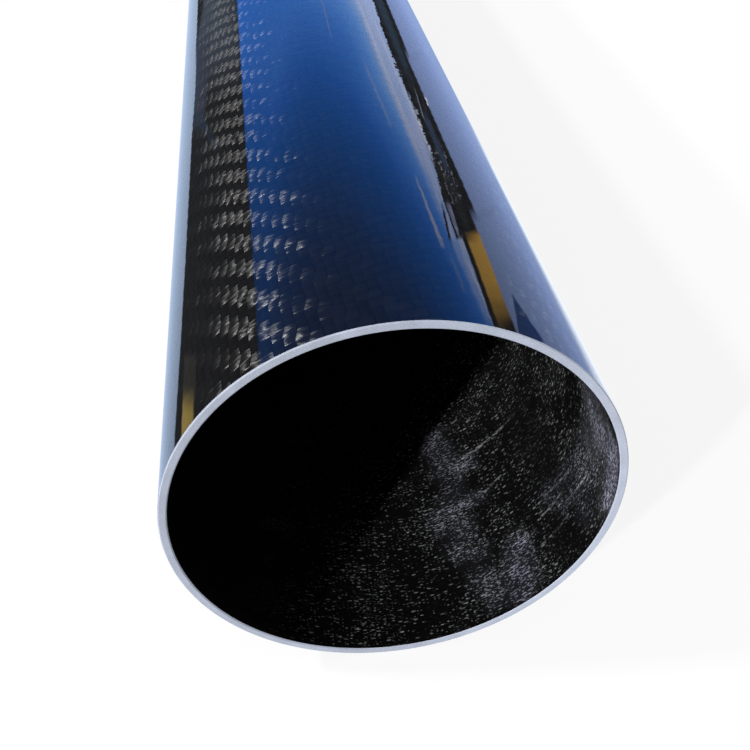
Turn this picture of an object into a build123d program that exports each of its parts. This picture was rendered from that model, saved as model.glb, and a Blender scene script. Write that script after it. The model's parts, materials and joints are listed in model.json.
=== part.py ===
from build123d import *
import os

# Carbon fibre tube: one piece of straight, round, thin-walled stock, lying on its side.
# Millimetres, +Z up. The tube's axis runs along Y, with a cut end at -Y and another at +Y.
# The origin is under the middle of the tube, on the surface that it lies on.

# Driving dimensions
outer_diameter = 80.0
wall_thickness = 1.5
stock_length = 1000.0
outer_edge_break = 0.2
bore_edge_break = 0.2

# Worked out from the driving dimensions
outer_radius = outer_diameter / 2
bore_radius = outer_radius - wall_thickness
axis_height = outer_radius

# The section stands across the axis, halfway along the tube, so that both ends are alike.
section_plane = Plane(origin=(0, 0, axis_height), x_dir=(1, 0, 0), z_dir=(0, 1, 0))

with BuildPart() as tube:
    with BuildSketch(section_plane) as section:
        Circle(outer_radius)
        Circle(bore_radius, mode=Mode.SUBTRACT)
    extrude(amount=stock_length / 2, both=True)

    # Both ends are sawn square, and their outer and inner edges are rubbed down a little.
    rims = tube.edges().filter_by(GeomType.CIRCLE).group_by(SortBy.RADIUS)
    chamfer(rims[-1], length=outer_edge_break)
    chamfer(rims[0], length=bore_edge_break)

tube.part.label = "tube"

os.makedirs("parts", exist_ok=True)
export_step(tube.part, "parts/tube.step")
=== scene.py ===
import json
import math

import bpy
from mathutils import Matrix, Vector


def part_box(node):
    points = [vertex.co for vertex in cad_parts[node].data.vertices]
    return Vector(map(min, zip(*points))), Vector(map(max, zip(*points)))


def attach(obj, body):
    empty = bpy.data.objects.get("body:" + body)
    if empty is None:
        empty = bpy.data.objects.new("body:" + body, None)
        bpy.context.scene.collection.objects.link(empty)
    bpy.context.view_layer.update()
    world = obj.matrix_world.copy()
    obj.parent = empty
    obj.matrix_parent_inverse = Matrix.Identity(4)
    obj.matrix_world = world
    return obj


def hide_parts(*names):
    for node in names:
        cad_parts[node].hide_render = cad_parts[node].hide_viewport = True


# A woven carbon fibre tube under clear gloss lacquer, sawn square, lying on a pale floor.
# Metres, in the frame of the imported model: the axis runs along Y, and the floor is at Z = 0.

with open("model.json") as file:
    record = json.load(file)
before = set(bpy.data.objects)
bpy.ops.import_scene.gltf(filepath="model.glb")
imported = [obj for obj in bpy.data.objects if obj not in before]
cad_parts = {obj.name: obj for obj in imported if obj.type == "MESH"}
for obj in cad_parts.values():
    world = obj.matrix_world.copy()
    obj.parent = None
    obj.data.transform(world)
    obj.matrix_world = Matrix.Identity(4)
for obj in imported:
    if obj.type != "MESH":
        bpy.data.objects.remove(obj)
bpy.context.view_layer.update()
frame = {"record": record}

# Sizes of the tube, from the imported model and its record
mounts = {mount["name"]: mount for mount in frame["record"]["mounts"]}
low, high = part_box("tube")
outer_radius = mounts["outside"]["dims"]["r_mm"] / 1000
bore_radius = mounts["bore_front"]["dims"]["r_mm"] / 1000
stock_length = high.y - low.y
edge_break = (stock_length - mounts["outside"]["dims"]["length_mm"] / 1000) / 2
axis_height = (low.z + high.z) / 2
front_rim = Vector((0, low.y, axis_height))

# Mesh divisions
segments_round = 256
divisions_along = 40

# Cloth: a 2/2 twill, so it repeats every four tows both ways
tows_round = 128
tow_pitch_along = 0.00213
repeat_tows = 4
float_tows = repeat_tows / 2
# The tows that run round are laid a little askew: each turn carries them this many tows along.
skew_tows = 8
# How far the tows that run round are shifted along the tube, in tows
first_tow = 2.41

full_turn = 2 * math.pi
tow_width = full_turn * outer_radius / tows_round


class Value:
    """A number, vector or colour that shader nodes work out. Arithmetic on it adds nodes."""

    def __init__(self, shading, socket):
        self.shading = shading
        self.socket = socket

    def __add__(self, other):
        return self.shading.arithmetic("ADD", self, other)

    __radd__ = __add__

    def __sub__(self, other):
        return self.shading.arithmetic("SUBTRACT", self, other)

    def __rsub__(self, other):
        return self.shading.arithmetic("SUBTRACT", other, self)

    def __mul__(self, other):
        if is_vector(self) and not is_vector(other):
            return self.shading.scaled(self, other)
        return self.shading.arithmetic("MULTIPLY", self, other)

    def __truediv__(self, other):
        return self.shading.arithmetic("DIVIDE", self, other)

    def __neg__(self):
        return self * -1.0

    def __abs__(self):
        return self.shading.math("ABSOLUTE", self)


def is_vector(value):
    """Whether a value is a vector or a colour, and not a number."""
    if isinstance(value, Value):
        return value.socket.type != "VALUE"
    return isinstance(value, tuple)


class Shading:
    """Adds shader nodes to one node tree."""

    def __init__(self, tree):
        self.tree = tree
        self.tree.nodes.clear()

    def node(self, kind, inputs=None, **settings):
        """A new node. inputs holds what its sockets get, by the socket's name or number."""
        node = self.tree.nodes.new(kind)
        for name, value in settings.items():
            setattr(node, name, value)
        for name, value in (inputs or {}).items():
            self.feed(node.inputs[name], value)
        return node

    def feed(self, socket, value):
        if isinstance(value, Value):
            value = value.socket
        if isinstance(value, bpy.types.NodeSocket):
            self.tree.links.new(value, socket)
        elif socket.type == "RGBA":
            socket.default_value = (*value, 1)
        else:
            socket.default_value = value

    def math(self, operation, *values, clamp=False):
        node = self.node("ShaderNodeMath", dict(enumerate(values)), operation=operation, use_clamp=clamp)
        return Value(self, node.outputs[0])

    def vector_math(self, operation, *values):
        node = self.node("ShaderNodeVectorMath", dict(enumerate(values)), operation=operation)
        return Value(self, node.outputs["Value" if operation in ("LENGTH", "DOT_PRODUCT") else "Vector"])

    def arithmetic(self, operation, a, b):
        """The sum, difference, product or quotient of two numbers or of two vectors."""
        return self.vector_math(operation, a, b) if is_vector(a) else self.math(operation, a, b)

    def scaled(self, vector, amount):
        node = self.node("ShaderNodeVectorMath", {0: vector, "Scale": amount}, operation="SCALE")
        return Value(self, node.outputs[0])

    def cosine(self, angle):
        return self.math("COSINE", angle)

    def sine(self, angle):
        return self.math("SINE", angle)

    def floor(self, value):
        return self.math("FLOOR", value)

    def modulo(self, value, divisor):
        return self.math("FLOORED_MODULO", value, divisor)

    def maximum(self, a, b):
        return self.math("MAXIMUM", a, b)

    def remap(self, value, start, end, low=0.0, high=1.0, smooth=True):
        """low up to where value reaches start, then changing to high, which it keeps from end on."""
        inputs = {"Value": value, "From Min": start, "From Max": end, "To Min": low, "To Max": high}
        interpolation = "SMOOTHSTEP" if smooth else "LINEAR"
        node = self.node("ShaderNodeMapRange", inputs, interpolation_type=interpolation)
        return Value(self, node.outputs["Result"])

    def choose(self, condition, if_false, if_true):
        """One of two numbers or vectors. Where the condition is between 0 and 1, so is the result."""
        if is_vector(if_true):
            node = self.node("ShaderNodeMix", {0: condition, 4: if_false, 5: if_true}, data_type="VECTOR")
            return Value(self, node.outputs[1])
        node = self.node("ShaderNodeMix", {0: condition, 2: if_false, 3: if_true}, data_type="FLOAT")
        return Value(self, node.outputs[0])

    def blend(self, share, first, second):
        """A colour between two colours, with this share of the second."""
        node = self.node("ShaderNodeMix", {0: share, 6: first, 7: second}, data_type="RGBA")
        return Value(self, node.outputs[2])

    def vector(self, x, y, z):
        return Value(self, self.node("ShaderNodeCombineXYZ", {0: x, 1: y, 2: z}).outputs[0])

    def parts(self, vector):
        """The three numbers of a vector or colour."""
        return [Value(self, output) for output in self.node("ShaderNodeSeparateXYZ", {0: vector}).outputs]

    def noise(self, vector, scale=1.0, detail=2.0, roughness=0.5):
        """Smooth noise, about 0.5 on average."""
        inputs = {"Vector": vector, "Scale": scale, "Detail": detail, "Roughness": roughness}
        return Value(self, self.node("ShaderNodeTexNoise", inputs, noise_dimensions="3D").outputs[0])

    def vector_noise(self, vector, scale, detail=2.0):
        """Three independent smooth noises as one vector, each about 0 on average."""
        inputs = {"Vector": vector, "Scale": scale, "Detail": detail}
        node = self.node("ShaderNodeTexNoise", inputs, noise_dimensions="3D")
        return Value(self, node.outputs["Color"]) - (0.5, 0.5, 0.5)

    def random(self, vector):
        """A random number and three more, for each whole-numbered vector."""
        node = self.node("ShaderNodeTexWhiteNoise", {"Vector": vector}, noise_dimensions="3D")
        return Value(self, node.outputs["Value"]), self.parts(Value(self, node.outputs["Color"]))

    def ramp(self, place, stops):
        """A colour by place, between stops that are pairs of a place and a colour."""
        node = self.node("ShaderNodeValToRGB", {0: place})
        elements = node.color_ramp.elements
        while len(elements) < len(stops):
            elements.new(0.5)
        for element, (position, colour) in zip(elements, stops):
            element.position = position
            element.color = (*colour, 1)
        return Value(self, node.outputs["Color"])

    def to_world(self, vector, kind):
        """A NORMAL or a VECTOR of the object, turned as the object is."""
        node = self.node(
            "ShaderNodeVectorTransform",
            {0: vector},
            vector_type=kind,
            convert_from="OBJECT",
            convert_to="WORLD",
        )
        return Value(self, node.outputs[0])

    def bump(self, height, distance, strength):
        inputs = {"Strength": strength, "Distance": distance, "Height": height}
        return Value(self, self.node("ShaderNodeBump", inputs).outputs[0])

    def mix_shaders(self, share, first, second):
        """A shader between two shaders, with this share of the second."""
        return self.node("ShaderNodeMixShader", {0: share, 1: first.outputs[0], 2: second.outputs[0]})

    def light(self, colour, strength):
        return self.node("ShaderNodeBackground", {"Color": colour, "Strength": strength})


def new_material(name):
    material = bpy.data.materials.new(name)
    material.use_nodes = True
    return material, Shading(material.node_tree)


def tube_coordinates(nodes):
    """Where a point of the tube is.

    Gives its place as a vector, then its x, y and rise from the axis, then its angle from the top.
    """
    place = Value(nodes, nodes.node("ShaderNodeTexCoord").outputs["Object"])
    x, y, z = nodes.parts(place)
    rise = z - axis_height
    angle = nodes.math("ARCTAN2", x, rise)
    return place, x, y, rise, angle


class Twill:
    """Where a point is in the cloth, and which tow is on top there.

    u counts the tows that run along the tube, and v those that run round it. A tow lies on top of two
    tows, then passes under two. Where it lies on top it is a float.
    """

    # Each kind of random draw has a number of its own, so that no two draws are alike.
    draw_for_round_floats = 3.0
    draw_for_along_floats = 7.0
    draw_for_crossings = 11.0

    def __init__(self, nodes, place, y, angle):
        # Tows wander a little.
        wander_size = 6 * tow_width
        wander_amount = 0.55
        wander_u, wander_v, _ = nodes.parts(nodes.vector_noise(place, 1 / wander_size))
        u = angle * (tows_round / full_turn) + wander_u * wander_amount
        v = y * (1 / tow_pitch_along) - angle * (skew_tows / full_turn)
        v = v + first_tow + wander_v * wander_amount

        # Both sets of tows bend to and fro with the twill's diagonals.
        column_bend = 0.14
        row_bend = 0.08
        diagonal = nodes.modulo(u + v, repeat_tows) * (full_turn / repeat_tows)
        bend = nodes.cosine(diagonal - math.pi / 4)
        self.u = u + bend * column_bend
        self.v = v + bend * row_bend

        column = nodes.floor(self.u)
        row = nodes.floor(self.v)
        across_column = self.u - column
        across_row = self.v - row
        round_place = nodes.modulo(self.u + row, repeat_tows)
        along_place = nodes.modulo(column + self.v, repeat_tows)
        # The tows that run round show over a little less than half of the cloth.
        half_float = 0.89
        self.round_on_top = nodes.math("LESS_THAN", abs(round_place - float_tows / 2), half_float)

        # Position along the float that is on top, across it, and across the tow beneath it, from 0 to 1
        self.along_float = nodes.choose(
            self.round_on_top,
            along_place * (1 / float_tows) - 1.0,
            round_place * (1 / float_tows),
        )
        self.across_float = nodes.choose(self.round_on_top, across_column, across_row)
        self.across_tow_beneath = nodes.choose(self.round_on_top, across_row, across_column)

        # Each float has its own shade and its own tilts, and each crossing its own tilt.
        along_repeat = nodes.floor((column + self.v) * (1 / repeat_tows))
        round_repeat = nodes.floor((self.u + row) * (1 / repeat_tows))
        float_number = nodes.choose(
            self.round_on_top,
            nodes.vector(column, along_repeat, self.draw_for_along_floats),
            nodes.vector(round_repeat, row, self.draw_for_round_floats),
        )
        self.float_shade, (_, tilt_along, tilt_across) = nodes.random(float_number)
        self.float_tilt_along = tilt_along - 0.5
        self.float_tilt_across = tilt_across - 0.5
        self.crossing_tilt = nodes.random(nodes.vector(column, row, self.draw_for_crossings))[0] - 0.5


def tow_filaments(nodes, cloth, x, y, rise):
    """The grain of the tow on top: fine across it and long along it, about 0 on average."""
    fine = 3.2 / tow_width
    coarse = 0.55 / tow_width

    def grain(per_metre_round, per_metre_along):
        spot = nodes.vector(x * per_metre_round, y * per_metre_along, rise * per_metre_round)
        return nodes.noise(spot, detail=3.0, roughness=0.7)

    return nodes.choose(cloth.round_on_top, grain(fine, coarse), grain(coarse, fine)) - 0.5


def tow_slopes(nodes, cloth, filaments):
    """How steeply the tow on top rises, round the tube and along it.

    A float swells over each tow beneath it, sags a little along its length and is domed across.
    """
    swell = 0.13
    sag = 0.035
    dome = 0.30
    tilt_variation = 0.18
    crossing_variation = 0.16
    filament_variation = 0.8
    slope_along = nodes.cosine(cloth.across_tow_beneath * math.pi) * swell
    slope_along -= nodes.cosine(cloth.along_float * math.pi) * sag
    slope_along += cloth.float_tilt_along * tilt_variation + cloth.crossing_tilt * crossing_variation
    slope_along += filaments * filament_variation
    slope_across = (0.5 - cloth.across_float) * (2 * dome) + cloth.float_tilt_across * tilt_variation
    slope_round = nodes.choose(cloth.round_on_top, slope_across, slope_along)
    slope_lengthwise = nodes.choose(cloth.round_on_top, slope_along, slope_across)
    return slope_round, slope_lengthwise


def lacquered_weave():
    """Matt black carbon tows in a twill, seen through smooth clear lacquer."""
    material, nodes = new_material("lacquered_weave")
    place, x, y, rise, angle = tube_coordinates(nodes)
    cloth = Twill(nodes, place, y, angle)
    filaments = tow_filaments(nodes, cloth, x, y, rise)

    outward = nodes.vector(nodes.sine(angle), 0.0, nodes.cosine(angle))
    round_way = nodes.vector(nodes.cosine(angle), 0.0, -nodes.sine(angle))
    lengthwise = (0.0, 1.0, 0.0)

    def normal(slope_round, slope_lengthwise):
        leant = outward - round_way * slope_round - nodes.scaled(lengthwise, slope_lengthwise)
        return nodes.to_world(nodes.vector_math("NORMALIZE", leant), "NORMAL")

    # The lacquer is smooth but not flat: it is wavy, and the cloth prints through it faintly.
    print_through = 0.001
    waviness = 0.006
    wave_size = 2 * tow_width
    ripple_round, ripple_lengthwise, _ = nodes.parts(nodes.vector_noise(place, 1 / wave_size))
    lacquer_round = nodes.sine(cloth.u * math.pi) * print_through + ripple_round * waviness
    lacquer_lengthwise = nodes.sine(cloth.v * math.pi) * print_through + ripple_lengthwise * waviness

    # Tow edges are a little darker and rougher, and floats differ a little in tone. The tows that run round
    # are a little lighter than those that run along: a painted sheen of the weave.
    tone_of_along_tows = 0.0035
    round_tow_tone_with_sheen = 0.0055
    darkest = 0.001
    gap_darkening = 0.1
    tow_roughness = 0.29
    gap_roughness = 0.45
    edge_distance = abs(cloth.across_float - 0.5)
    end_distance = abs(cloth.along_float - 0.5)
    gap = nodes.maximum(nodes.remap(edge_distance, 0.38, 0.5), nodes.remap(end_distance, 0.44, 0.5))
    tone = nodes.choose(cloth.round_on_top, tone_of_along_tows, round_tow_tone_with_sheen)
    tone = tone + (cloth.float_shade * 0.001 + filaments * 0.005)
    tone = nodes.maximum(tone * (1.0 - gap * gap_darkening), darkest)

    resin_ior = 1.5
    inputs = {
        "Base Color": nodes.vector(tone, tone, tone * 1.06),
        "Roughness": nodes.choose(gap, tow_roughness, gap_roughness) + filaments * 0.1,
        "IOR": resin_ior,
        "Anisotropic": 1.0,
        "Normal": normal(*tow_slopes(nodes, cloth, filaments)),
        "Tangent": nodes.to_world(nodes.choose(cloth.round_on_top, round_way, lengthwise), "VECTOR"),
        "Coat Weight": 1.0,
        "Coat Roughness": 0.0,
        "Coat IOR": resin_ior,
        "Coat Normal": normal(lacquer_round, lacquer_lengthwise),
    }
    surface = nodes.node("ShaderNodeBsdfPrincipled", inputs)
    nodes.node("ShaderNodeOutputMaterial", {"Surface": surface.outputs[0]})
    return material


def sawn_end():
    """The sawn laminate: pale with dust, with faint plies round it and fine grain."""
    material, nodes = new_material("sawn_end")
    place, x, _, rise, angle = tube_coordinates(nodes)
    radius = nodes.math("SQRT", x * x + rise * rise)
    ply_thickness = 0.00025
    mean_tone = 0.39
    ply_contrast = 0.02
    grain_contrast = 0.22
    patch_contrast = 0.16
    plies = nodes.sine(radius * (full_turn / ply_thickness))
    grain = nodes.noise(place, 3500.0, detail=3.0, roughness=0.6)
    patches = nodes.noise(place, 220.0)
    tone = mean_tone + plies * ply_contrast
    tone = tone + (grain - 0.5) * grain_contrast + (patches - 0.5) * patch_contrast
    # It is lighter low on the right and darker high on the left.
    lightest_side = math.radians(135)
    side_contrast = 0.05
    tone = tone + nodes.cosine(angle - lightest_side) * side_contrast
    inputs = {
        "Base Color": nodes.vector(tone, tone * 1.10, tone * 1.34),
        "Roughness": 0.55 + grain * 0.2,
        "Specular IOR Level": 0.3,
        "Normal": nodes.bump(grain + plies * 0.2, distance=0.00004, strength=0.4),
    }
    surface = nodes.node("ShaderNodeBsdfPrincipled", inputs)
    nodes.node("ShaderNodeOutputMaterial", {"Surface": surface.outputs[0]})
    return material


# Marks in the bore. Each runs from one point of it to another. A point is its angle from the top, in
# degrees, and its depth from the nearer end. Then come the mark's half width and its strength.
hazy_scuffs = [
    ((154, 0.054), (152, 0.045), 0.0034, 0.8),
    ((154, 0.042), (143, 0.040), 0.0019, 0.8),
    ((151, 0.038), (153, 0.032), 0.0034, 0.6),
    ((158, 0.031), (143, 0.030), 0.0020, 0.8),
    ((157, 0.028), (152, 0.024), 0.0036, 0.7),
    ((155, 0.020), (150, 0.016), 0.0032, 0.6),
    ((150, 0.011), (147, 0.005), 0.0030, 0.6),
    ((136, 0.012), (139, 0.003), 0.0038, 1.0),
    ((119, 0.0185), (101, 0.0165), 0.0026, 0.6),
    ((115, 0.0130), (99, 0.0118), 0.0024, 0.6),
    ((93, 0.016), (105, 0.006), 0.0050, 0.5),
    ((-150, 0.030), (-120, 0.024), 0.0025, 0.5),
]
# A bluish grey haze near the rim on the right: a painted sheen, the pale surroundings mirrored at a grazing
# angle
grazing_sheen_patches = [
    ((74, 0.014), (82, 0.012), 0.0080, 0.8),
    ((80, 0.004), (93, 0.002), 0.0050, 1.0),
]
# Thin scratches that run round the bore
scratches = [
    ((145, 0.0431), (121, 0.0436), 0.0004, 1.0),
    ((144, 0.0302), (134, 0.0318), 0.0003, 0.9),
    ((128, 0.0091), (115, 0.0098), 0.0003, 0.9),
    ((126, 0.0149), (114, 0.0152), 0.0003, 0.9),
    ((121, 0.0185), (106, 0.0170), 0.0003, 0.6),
    ((114, 0.0125), (100, 0.0116), 0.0003, 0.6),
]
# Patches that almost nothing marks
bare_patches = [
    ((119, 0.042), (117, 0.022), 0.0055, 0.7),
    ((121, 0.010), (118, 0.003), 0.0040, 0.6),
]


def rubbed(nodes, marks, spot):
    """How strongly a spot is rubbed by a list of marks."""
    result = 0.0
    for (turn_1, depth_1), (turn_2, depth_2), half_width, strength in marks:
        start = Vector((math.radians(turn_1) * bore_radius, depth_1, 0))
        run = Vector((math.radians(turn_2) * bore_radius, depth_2, 0)) - start
        from_start = spot - tuple(start)
        share = nodes.vector_math("DOT_PRODUCT", from_start, tuple(run / run.length_squared))
        share = nodes.math("MULTIPLY", share, 1.0, clamp=True)
        aside = nodes.vector_math("LENGTH", from_start - nodes.scaled(tuple(run), share))
        rubbed_here = nodes.remap(aside, 1.6 * half_width, 0.3 * half_width, 0.0, strength)
        result = nodes.maximum(result, rubbed_here)
    return result


def flecks(nodes, arc, y, crowding, pitch, half_size, share):
    """One fleck in a share of the cells of a loose grid, each of its own size and strength.

    pitch and half_size are measured round the bore, then along it.
    """
    cell = nodes.vector(arc * (1 / pitch[0]), y * (1 / pitch[1]), 0.0)
    inputs = {"Vector": cell, "Scale": 1.0, "Randomness": 0.85}
    cells = nodes.node("ShaderNodeTexVoronoi", inputs, voronoi_dimensions="2D", feature="F1")
    offset_round, offset_along, _ = nodes.parts(cell - Value(nodes, cells.outputs["Position"]))
    chance_present, chance_strong, chance_large = nodes.parts(Value(nodes, cells.outputs["Color"]))
    size = nodes.remap(chance_large, 0.0, 1.0, 0.55, 1.45, smooth=False)
    stretched = nodes.vector(
        offset_round * (pitch[0] / half_size[0]),
        offset_along * (pitch[1] / half_size[1]),
        0.0,
    )
    inside = nodes.remap(nodes.vector_math("LENGTH", stretched) / size, 1.15, 0.7)
    strength = nodes.remap(chance_strong, 0.0, 1.0, 0.2, 1.0, smooth=False)
    present = nodes.math("LESS_THAN", chance_present, nodes.choose(crowding, 0.35 * share, share))
    return inside * present * strength


def bore_resin():
    """The bore: dull black resin, flecked where tows cross and scuffed in hazy patches near each end."""
    material, nodes = new_material("bore_resin")
    place, x, y, rise, angle = tube_coordinates(nodes)
    arc = angle * bore_radius
    depth = stock_length / 2 - abs(y)

    crowding = nodes.remap(nodes.noise(place, 120.0), 0.36, 0.62)
    dashes = flecks(nodes, arc, y, crowding, (0.00145, 0.00150), (0.00038, 0.00012), 0.80)
    dots = flecks(nodes, arc, y, crowding, (0.00080, 0.00075), (0.00017, 0.00010), 0.60)

    # The marks have wavering edges, scratches less so.
    spot = nodes.vector(arc, depth, 0.0)
    wavering = spot + nodes.vector_noise(place, 260.0, 3.0) * (0.005, 0.005, 0.0)
    nearly_straight = spot + nodes.vector_noise(place, 700.0, 3.0) * (0.0012, 0.0007, 0.0)
    scuffed = rubbed(nodes, hazy_scuffs, wavering)
    sheened = rubbed(nodes, grazing_sheen_patches, wavering)
    scratched = rubbed(nodes, scratches, nearly_straight)
    bare = rubbed(nodes, bare_patches, wavering)
    wear_and_sheen = nodes.maximum(scuffed, sheened)

    def drawn_round(across, along, detail=2.0):
        """Noise that is stretched round the bore, as the cloth and the scuffs are."""
        return nodes.noise(nodes.vector(x * across, y * along, rise * across), detail=detail)

    # Fine specks crowd in the scuffs and in the painted sheen.
    speck_threshold = nodes.choose(crowding, 0.66, 0.60) - wear_and_sheen * 0.09
    specks = nodes.remap(drawn_round(1300.0, 3600.0) - speck_threshold, 0.0, 0.06)
    strokes = nodes.remap(drawn_round(1000.0, 3800.0, 3.0), 0.46, 0.60)
    grain = drawn_round(800.0, 2400.0, 3.0)

    # The marks are painted strongest low on the right, where the key lamp shines in: painted light.
    most_lit = math.radians(130)
    lit_side = nodes.remap(nodes.cosine(angle - most_lit), -0.3, 0.6, 0.05, 1.0)
    # Low on the left they fade out along the edge of the rim's shadow, the sooner the deeper in the bore:
    # painted shade.
    shadow_edge_start = math.radians(212)
    shadow_edge_end = math.radians(220)
    shadow_edge_per_metre = math.radians(870)
    turned = nodes.modulo(angle, full_turn) + depth * shadow_edge_per_metre
    lit_side = lit_side * nodes.remap(turned, shadow_edge_start, shadow_edge_end, 1.0, 0.3)

    # How much each kind of mark adds to the resin's tone. The flecks are lighter as painted glints of the
    # lamp on the small bumps where tows cross.
    dash_glint_tone = 0.27
    dot_glint_tone = 0.24
    scratch_tone = 0.26
    speck_tone = nodes.choose(wear_and_sheen, 0.05, 0.25)
    scuff_haze = 0.032
    sheen_haze = 0.09
    marks = dashes * dash_glint_tone + dots * dot_glint_tone
    marks = marks + (specks * speck_tone + scratched * strokes * scratch_tone)
    haze = (scuffed * scuff_haze + sheened * sheen_haze) * grain
    near_rim = nodes.remap(depth, 0.0003, 0.0018, 0.4, 1.0)
    strength = (marks + haze) * lit_side * near_rim * nodes.choose(crowding, 0.75, 1.1) * (1.0 - bare)
    resin_tone = 0.003
    darkest = 0.002
    tone = nodes.maximum(resin_tone + (grain - 0.5) * 0.006 + strength, darkest)
    # Where scuffed and in the painted sheen the resin is bluer. In the sheen this blue is a painted
    # reflection of pale blue surroundings.
    blueness = 1.05 + wear_and_sheen * 0.25
    inputs = {
        "Base Color": nodes.vector(tone, tone * 1.02, tone * blueness),
        "Roughness": nodes.choose(scuffed, 0.62, 0.8),
        "Specular IOR Level": 0.06,
        "Normal": nodes.bump(grain + (dashes + dots), distance=0.00005, strength=0.5),
    }
    surface = nodes.node("ShaderNodeBsdfPrincipled", inputs)
    nodes.node("ShaderNodeOutputMaterial", {"Surface": surface.outputs[0]})
    return material


def tube_mesh():
    """One closed wall, turned about the axis: outside, end rings with their broken edges, and bore."""
    outside_face, end_face, bore_face = 0, 1, 2
    start = low.y
    end = high.y
    # Each entry is a ring's radius and place along the axis, and the finish of the band that follows it.
    profile = [(outer_radius - edge_break, start, end_face)]
    for step in range(divisions_along + 1):
        y = start + edge_break + (stock_length - 2 * edge_break) * step / divisions_along
        profile.append((outer_radius, y, outside_face if step < divisions_along else end_face))
    profile.append((outer_radius - edge_break, end, end_face))
    profile.append((bore_radius + edge_break, end, end_face))
    for step in range(divisions_along + 1):
        y = end - edge_break - (stock_length - 2 * edge_break) * step / divisions_along
        profile.append((bore_radius, y, bore_face if step < divisions_along else end_face))
    profile.append((bore_radius + edge_break, start, end_face))

    vertices = []
    for radius, y, _ in profile:
        for segment in range(segments_round):
            turn = full_turn * segment / segments_round
            vertices.append((radius * math.sin(turn), y, axis_height + radius * math.cos(turn)))
    faces = []
    finishes = []
    for ring, (_, _, finish) in enumerate(profile):
        first = ring * segments_round
        following = (ring + 1) % len(profile) * segments_round
        for segment in range(segments_round):
            beside = (segment + 1) % segments_round
            faces.append((first + segment, first + beside, following + beside, following + segment))
            finishes.append(finish)

    mesh = bpy.data.meshes.new("tube_wall")
    mesh.from_pydata(vertices, [], faces)
    for material in (lacquered_weave(), sawn_end(), bore_resin()):
        mesh.materials.append(material)
    mesh.polygons.foreach_set("material_index", finishes)
    mesh.polygons.foreach_set("use_smooth", [True] * len(faces))
    mesh.update()
    mesh.set_sharp_from_angle(angle=math.radians(30))
    return mesh


wall = bpy.data.objects.new("tube_wall", tube_mesh())
bpy.context.scene.collection.objects.link(wall)
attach(wall, "root")
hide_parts("tube")


def pale_floor():
    """A large pale floor. It is lifted towards white for the camera, and keeps the tube's shadow."""
    half_width = 6.0
    floor_tone = 0.82
    lifted_white = 1.03
    lift_share = 0.85
    mesh = bpy.data.meshes.new("floor")
    corners = [(-1, -1), (1, -1), (1, 1), (-1, 1)]
    mesh.from_pydata([(half_width * x, half_width * y, 0) for x, y in corners], [], [(0, 1, 2, 3)])
    floor = bpy.data.objects.new("floor", mesh)
    bpy.context.scene.collection.objects.link(floor)
    material, nodes = new_material("pale_floor")
    path = nodes.node("ShaderNodeLightPath").outputs
    diffuse = nodes.node("ShaderNodeBsdfDiffuse", {"Color": (floor_tone, floor_tone, floor_tone)})
    lift = nodes.node("ShaderNodeEmission", {"Strength": lifted_white})
    lifted = Value(nodes, path["Is Camera Ray"]) * lift_share
    nodes.node("ShaderNodeOutputMaterial", {"Surface": nodes.mix_shaders(lifted, diffuse, lift).outputs[0]})
    mesh.materials.append(material)
    # The lacquer mirrors cards that stand for the floor, and not the floor itself.
    floor.visible_glossy = False


class Directions:
    """The directions that the lacquer mirrors, and patterns that lie over them.

    rise is how much of a direction points up, and along how much of it lies along the tube, either way,
    so both ends of the tube mirror the same. turn is how far it is turned round the tube from straight
    up, in degrees to the right.
    """

    def __init__(self, nodes):
        self.nodes = nodes
        x, y, z = nodes.parts(Value(nodes, nodes.node("ShaderNodeTexCoord").outputs["Generated"]))
        self.rise = z
        self.along = abs(y)
        self.turn = nodes.math("ARCTAN2", x, z) * (180 / math.pi)
        streak_noise = self.pattern(0.45, 26.0, layer=0.0, detail=3.0, roughness=0.65)
        torn_noise = self.pattern(0.6, 60.0, layer=5.0, detail=3.0, roughness=0.7)
        speck_noise = self.pattern(0.6, 420.0, layer=2.0, detail=1.0)
        self.ragged_edge = self.pattern(0.3, 520.0, layer=9.0, roughness=0.6) - 0.5
        self.streaks = nodes.remap(streak_noise, 0.40, 0.60)
        self.torn = nodes.remap(torn_noise, 0.42, 0.62)
        self.specks = nodes.remap(speck_noise, 0.54, 0.64)

    def pattern(self, per_degree, per_unit_along, layer, detail=2.0, roughness=0.5):
        """Noise over the directions. Each layer has its own."""
        spot = self.nodes.vector(self.turn * per_degree, self.along * per_unit_along, layer)
        return self.nodes.noise(spot, detail=detail, roughness=roughness)


# The brightest part of any card. A colour ramp holds nothing above 1, so colours are shares of this.
brightest = 2.4


def as_share(colour):
    return tuple(part / brightest for part in colour)


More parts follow.
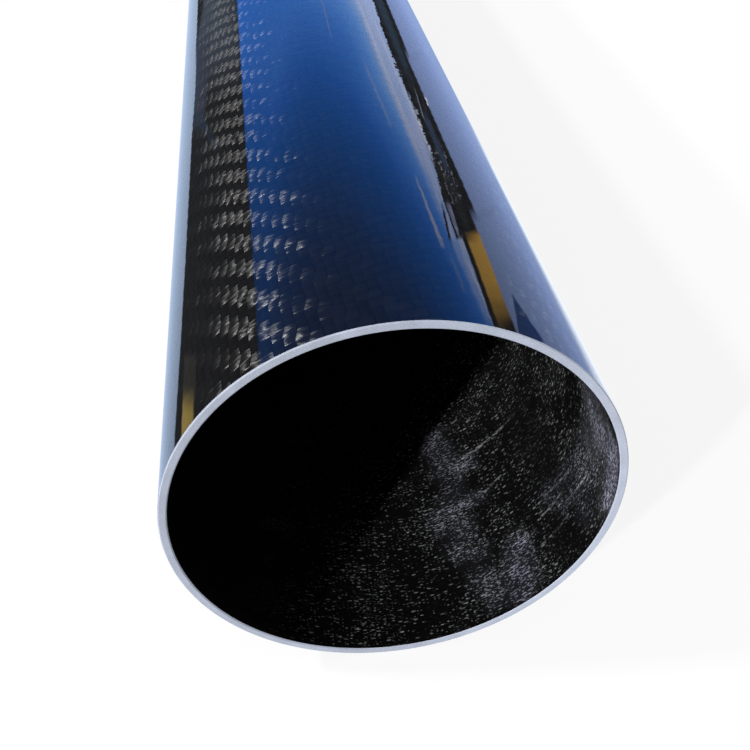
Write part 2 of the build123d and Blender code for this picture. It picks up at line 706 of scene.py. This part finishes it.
class Reflections:
    """What the lacquer mirrors in each direction: cards, each in front of those laid before it."""

    def __init__(self, directions, backdrop):
        self.nodes = directions.nodes
        self.directions = directions
        self.colour = backdrop

    def card(self, colour, near, far, ends=None, soft=1.0, soft_ends=0.004, cover=1.0, ragged=0.0):
        """Lays a card with slanted edges in front of the others.

        near and far are two lines across it. Each is its place along, then the turns of the card's left
        and right edges there. ends are the places along of the card's own ends, where they aren't those
        lines. soft and soft_ends are the half widths of its soft edges. cover is how much the card hides.
        Its left edge may be ragged, by some degrees.
        """
        nodes = self.nodes
        turn = self.directions.turn
        along = self.directions.along
        left = nodes.remap(along, near[0], far[0], near[1], far[1], smooth=False)
        right = nodes.remap(along, near[0], far[0], near[2], far[2], smooth=False)
        if ragged:
            left = left + self.directions.ragged_edge * ragged
        first, last = ends or (near[0], far[0])
        factor = nodes.remap(turn - left, -soft, soft) * nodes.remap(right - turn, -soft, soft)
        factor = factor * nodes.remap(along - first, -soft_ends, soft_ends)
        factor = factor * nodes.remap(last - along, -soft_ends, soft_ends)
        self.colour = nodes.blend(factor * cover, self.colour, as_share(colour))

    def band(self, colour, left, right, first=-1.0, **options):
        """Lays a card with straight edges, which runs on to the far end from its first place along."""
        self.card(colour, (0.0, left, right), (1.0, left, right), (first, 2.0), **options)


# Edges of cards that reach all the way round to straight down, on the left and on the right
far_left = -210
far_right = 210
# The right edge of the black flag on the right
flag_right = 110
flag_black = (0.02, 0.022, 0.028)


def blue_card(directions):
    """A blue card high beyond each end of the tube, deep high up and paler low down."""
    nodes = directions.nodes
    turn = directions.turn
    along = directions.along
    stops = [
        (0.00, (0.82, 1.22, 2.05)),
        (0.21, (0.70, 1.10, 2.00)),
        (0.26, (0.28, 0.76, 1.98)),
        (0.31, (0.11, 0.50, 1.74)),
        (0.37, (0.03, 0.32, 1.40)),
        (0.43, (0.00, 0.24, 1.05)),
        (0.49, (0.00, 0.18, 0.80)),
        (0.54, (0.00, 0.118, 0.52)),
        (0.62, (0.00, 0.072, 0.33)),
        (1.00, (0.01, 0.058, 0.25)),
    ]
    # It is darker on the left, most of all at its near end. It has no pale edge there or at the far end.
    lean = nodes.remap(turn, -62, 10, 0.165, 0.0, smooth=False)
    lean = lean * nodes.remap(along, 0.945, 0.88, 0.3, 1.0) * nodes.remap(along, 0.895, 0.82, 1.0, 1.4)
    lean = lean + nodes.remap(turn, 10, 40) * nodes.remap(along, 0.914, 0.945, -0.02, 0.015)
    no_pale_edge = nodes.maximum(nodes.remap(turn, 20, -10), nodes.remap(along, 0.965, 0.975))
    height = nodes.maximum(directions.rise, no_pale_edge * 0.30) + lean
    return nodes.ramp(height, [(place, as_share(colour)) for place, colour in stops])


def streaks_on_blue(seen):
    """Thin pale streaks in front of the blue card, most of them at its right edge."""
    choose = seen.nodes.choose
    torn = seen.directions.torn
    streaks = seen.directions.streaks
    lilac = (1.15, 1.32, 2.05)
    dense = choose(streaks, 0.34, 0.68)
    seen.card(lilac, (0.78, 58, 63), (0.96, 50.5, 72), soft=1.8, cover=dense)
    seen.card(lilac, (0.86, 57, 66), (0.905, 56, 68), soft=1.6, cover=torn * 0.8)
    line = (1.45, 1.60, 2.10)
    broken = choose(streaks, 0.8, 0.2)
    seen.card(line, (0.885, 55.0, 57.0), (0.950, 53.0, 55.2), soft=0.9, soft_ends=0.012, cover=broken)
    broken = choose(torn, 0.9, 0.2)
    seen.card(line, (0.875, 65.6, 68.0), (0.940, 62.2, 64.4), soft=0.9, soft_ends=0.008, cover=broken)
    seen.card((1.10, 1.15, 1.65), (0.836, 47.4, 50.0), (0.875, 47.0, 48.0), soft=0.7, cover=0.85)
    seen.card((0.55, 0.75, 1.30), (0.806, 51.0, 52.4), (0.829, 50.8, 52.0), soft=0.8, cover=0.5)
    seen.card((0.90, 0.80, 0.90), (0.942, 17.2, 18.0), (0.953, 18.0, 18.8), soft=0.5, cover=0.6)
    seen.card((0.65, 0.90, 1.60), (0.903, 41.6, 43.4), (0.929, 38.2, 39.8), soft=0.9, cover=0.55)
    seen.card((1.1, 1.2, 1.8), (0.890, 56.5, 58.0), (0.922, 53.0, 54.6), soft=0.8, cover=torn * 0.9)
    seen.card((1.3, 1.4, 1.9), (0.78, 60.3, 62.4), (0.84, 60.4, 62.8), soft=0.6, cover=torn)


def left_cards(seen):
    """A black flag low on the left with dim panels, a warm card at its near end, and pale floor."""
    patchy = seen.nodes.choose(seen.directions.torn, 0.3, 1.0)
    seen.band(flag_black, far_left, -64.7, soft=0.6)
    panel = (0.10, 0.132, 0.185)
    seen.card(panel, (0.944, -122, -66), (0.954, -112, -66), (0.934, 2.0), soft=4.0, soft_ends=0.012)
    seen.card((0.07, 0.09, 0.145), (0.914, -125, -108), (0.945, -125, -98), soft=3.0, soft_ends=0.008)
    streak = (0.04, 0.08, 0.15)
    seen.card(streak, (0.905, -95, -87), (0.919, -124, -110), soft=3.0, soft_ends=0.002, cover=patchy)
    patch = (0.075, 0.073, 0.062)
    seen.card(patch, (0.70, -123.6, -110.5), (0.7925, -123.6, -110.5), soft_ends=0.003)
    seen.card((0.95, 0.68, 0.18), (0.60, -123.4, -112), (0.762, -123.4, -112), soft=0.7, soft_ends=0.012)
    floor = (0.60, 0.77, 1.07)
    seen.card(floor, (0.742, far_left, -132), (0.95, far_left, -124.2), (-1.0, 2.0))
    bulge_ends = (0.908, 0.938)
    seen.card(floor, (0.908, far_left, -126.0), (0.926, far_left, -122.6), bulge_ends, soft_ends=0.005)


def right_flag(seen):
    """A black flag low on the right, torn along its left edge."""
    seen.card(
        flag_black,
        (0.93, 66.8, flag_right),
        (0.95, 71, flag_right),
        ends=(0.875, 2.0),
        soft=0.7,
        soft_ends=0.002,
        ragged=9.0,
    )
    seen.card(
        flag_black,
        (0.862, 61.0, flag_right),
        (0.88, 66.0, flag_right),
        ends=(0.857, 0.88),
        soft=0.6,
        soft_ends=0.002,
        ragged=6.0,
    )
    seen.card(
        flag_black,
        (0.836, 59.2, flag_right),
        (0.862, 60.8, flag_right),
        soft=0.5,
        soft_ends=0.002,
        ragged=2.0,
    )
    seen.card(flag_black, (0.836, 53.6, 55.2), (0.856, 57.4, 59.0), soft=0.5, ragged=2.0)


def strips_on_right_flag(seen):
    """What shows in that flag: pale strips at its torn edge, dim patches, white specks and dim blue."""
    choose = seen.nodes.choose
    torn = seen.directions.torn
    specks = seen.directions.specks
    cover = choose(torn, 0.4, 1.0)
    seen.card((1.2, 1.35, 2.0), (0.838, 56.0, 58.8), (0.854, 59.2, 60.0), soft=0.5, cover=cover)
    cover = choose(torn, 0.5, 1.0)
    seen.card((0.9, 1.0, 1.6), (0.838, 60.9, 62.6), (0.856, 61.6, 65.0), soft=0.6, cover=cover)
    seen.card((0.06, 0.07, 0.085), (0.862, 61, 82), (0.95, 71, 88), (0.862, 2.0), cover=torn * 0.6)
    seen.card((0.8, 0.85, 1.0), (0.855, 66.0, 76.0), (0.884, 69.0, 79.0), soft=0.7, cover=specks * 0.7)
    seen.card((1.8, 1.9, 2.3), (0.896, 65.0, 67.8), (0.903, 66.6, 69.6), soft=0.6, cover=specks)
    seen.card((2.0, 2.1, 2.4), (0.8970, 66.0, 67.4), (0.9000, 66.3, 67.7), soft=0.5, soft_ends=0.0008)
    seen.card((0.065, 0.085, 0.10), (0.838, 68, 73), (0.872, 67, 76), soft=2.0, cover=0.5)
    dim_blue = (0.06, 0.10, 0.17)
    seen.card(dim_blue, (0.918, 72.5, 78.5), (0.95, 74.0, 83.5), (0.918, 2.0), soft=2.0, soft_ends=0.01)
    seen.card((0.09, 0.14, 0.28), (0.872, 72, 76), (0.90, 72, 77), soft=1.5)
    cover = choose(torn, 0.4, 0.9)
    seen.card((0.8, 0.95, 1.3), (0.900, 71.6, 72.8), (0.912, 75.2, 76.0), soft=0.6, cover=cover)


def right_warm_card(seen):
    """A warm card at the near end on the right. It fades out nearer still, and black frames it."""
    seen.card(
        flag_black,
        (0.78, 61.2, flag_right),
        (0.84, 64.0, flag_right),
        ends=(-1.0, 0.838),
        soft=0.6,
        soft_ends=0.002,
    )
    warm = (1.32, 0.76, 0.16)
    shown = seen.nodes.remap(seen.directions.along, 0.762, 0.808)
    seen.card(warm, (0.775, 64.3, 75.6), (0.834, 66.7, 79.5), soft=0.8, soft_ends=0.005, cover=shown)


def right_floor_cards(seen):
    """Pale floor on the right: dimmer low down, white close to the near end, with a navy wedge in it."""
    floor = (0.47, 0.65, 1.22)
    near_part = (-1.0, 0.845)
    far_part = (0.922, 2.0)
    seen.card(floor, (0.780, 74.2, far_right), (0.832, 77.4, far_right), near_part, soft_ends=0.006)
    seen.card(floor, (0.842, 82.3, far_right), (0.925, 82.3, far_right))
    seen.card(floor, (0.905, 82.2, far_right), (0.945, 88.8, far_right), far_part)
    # A white dot at its edge
    seen.card((2.2, 2.2, 2.4), (0.9045, 82.0, 83.4), (0.9075, 82.0, 83.4), soft=0.4, soft_ends=0.001)
    seen.band((0.42, 0.56, 0.92), 125, far_right, soft=12.0)
    seen.band((0.31, 0.46, 0.86), 135, far_right, first=0.895, soft=12.0, soft_ends=0.02)
    white = (1.06, 1.18, 1.40)
    near_end = (-1.0, 0.875)
    seen.card(white, (0.70, 127, far_right), (0.87, 137, far_right), near_end, soft=6.0, soft_ends=0.02)
    seen.card((0.05, 0.13, 0.45), (0.754, 71.8, 91.0), (0.792, 82.6, 82.6), soft=0.8, soft_ends=0.002)


def cards_beside(directions):
    """What the lacquer mirrors from beside the tube: dark walls, a long strip of light and a dim floor."""
    seen = Reflections(directions, as_share((0.04, 0.06, 0.11)))
    seen.band((2.0, 2.1, 2.3), 28, 38, soft=2.5)
    seen.band((0.26, 0.32, 0.42), 102, far_right, soft=6.0)
    return seen.colour


def mirrored_studio(nodes):
    """The colour that the lacquer mirrors in each direction, as a share of the brightest."""
    directions = Directions(nodes)
    seen = Reflections(directions, blue_card(directions))
    streaks_on_blue(seen)
    left_cards(seen)
    right_flag(seen)
    strips_on_right_flag(seen)
    right_warm_card(seen)
    right_floor_cards(seen)
    # The cards so far stand beyond the tube's ends. Beside it stand others, except low on the left.
    beside = nodes.remap(directions.along, 0.72, 0.62) * nodes.remap(directions.turn, -66.5, -63)
    seen.colour = nodes.blend(beside, seen.colour, cards_beside(directions))
    # The tube's own shadow on the floor
    shadowed_floor = (0.10, 0.12, 0.18)
    seen.band(shadowed_floor, 168, far_right, soft=8.0)
    seen.band(shadowed_floor, far_left, -168, soft=8.0)
    return seen.colour


def studio():
    """Soft light from all round, white for the camera, and the cards that the lacquer mirrors."""
    soft_light = 0.30
    # Weaker, so that the gloss of the tows and of the bore doesn't lift them from black
    light_on_rough_gloss = 0.05
    world = bpy.data.worlds.new("studio")
    world.use_nodes = True
    world.cycles.sampling_method = "NONE"
    bpy.context.scene.world = world
    nodes = Shading(world.node_tree)
    cards = nodes.light(mirrored_studio(nodes), brightest)
    path = nodes.node("ShaderNodeLightPath").outputs
    plain = nodes.light((1, 1, 1), nodes.choose(path["Is Glossy Ray"], soft_light, light_on_rough_gloss))
    white = nodes.light((1, 1, 1), 1.0)
    # Only rays off the lacquer are singular: it is perfectly smooth, and nothing else is.
    for_gloss = nodes.mix_shaders(path["Is Singular Ray"], plain, cards)
    for_camera = nodes.mix_shaders(path["Is Camera Ray"], for_gloss, white)
    nodes.node("ShaderNodeOutputWorld", {"Surface": for_camera.outputs[0]})


def lamp(name, towards_lamp, strength, width):
    """A distant lamp, width degrees across. The lacquer mirrors the cards, not the lamps."""
    data = bpy.data.lights.new(name, "SUN")
    data.energy = strength
    data.angle = math.radians(width)
    data.cycles.use_multiple_importance_sampling = False
    light = bpy.data.objects.new(name, data)
    light.rotation_euler = Vector(towards_lamp).to_track_quat("Z", "Y").to_euler()
    bpy.context.scene.collection.objects.link(light)


def lamps():
    # Low in front on the left: shines into the bore and along the tows
    lamp("key", (-0.6616, -0.6448, 0.382), strength=3.0, width=2.5)
    # Higher on the left and square to the tube: brings out the weave
    lamp("side", (-0.755, 0.10, 0.65), strength=2.0, width=4)
    # Low on the right and square to the tube: brings out the weave on that side
    lamp("fill", (0.978, 0.0, 0.208), strength=0.5, width=6)


def camera():
    """Looks down on the near end from just in front of it and a little to the left."""
    place_in_radii = Vector((-0.460, -2.649, 2.944))
    tilt_up_from_straight_down = math.radians(50.834)
    turn_to_the_right = math.radians(7.705)
    data = bpy.data.cameras.new("camera")
    data.sensor_width = 36
    data.lens = 44.569
    eye = bpy.data.objects.new("camera", data)
    eye.location = front_rim + place_in_radii * outer_radius
    eye.rotation_euler = (tilt_up_from_straight_down, 0, -turn_to_the_right)
    bpy.context.scene.collection.objects.link(eye)
    bpy.context.scene.camera = eye


pale_floor()
studio()
lamps()
camera()
bpy.context.scene.view_settings.view_transform = "Standard"
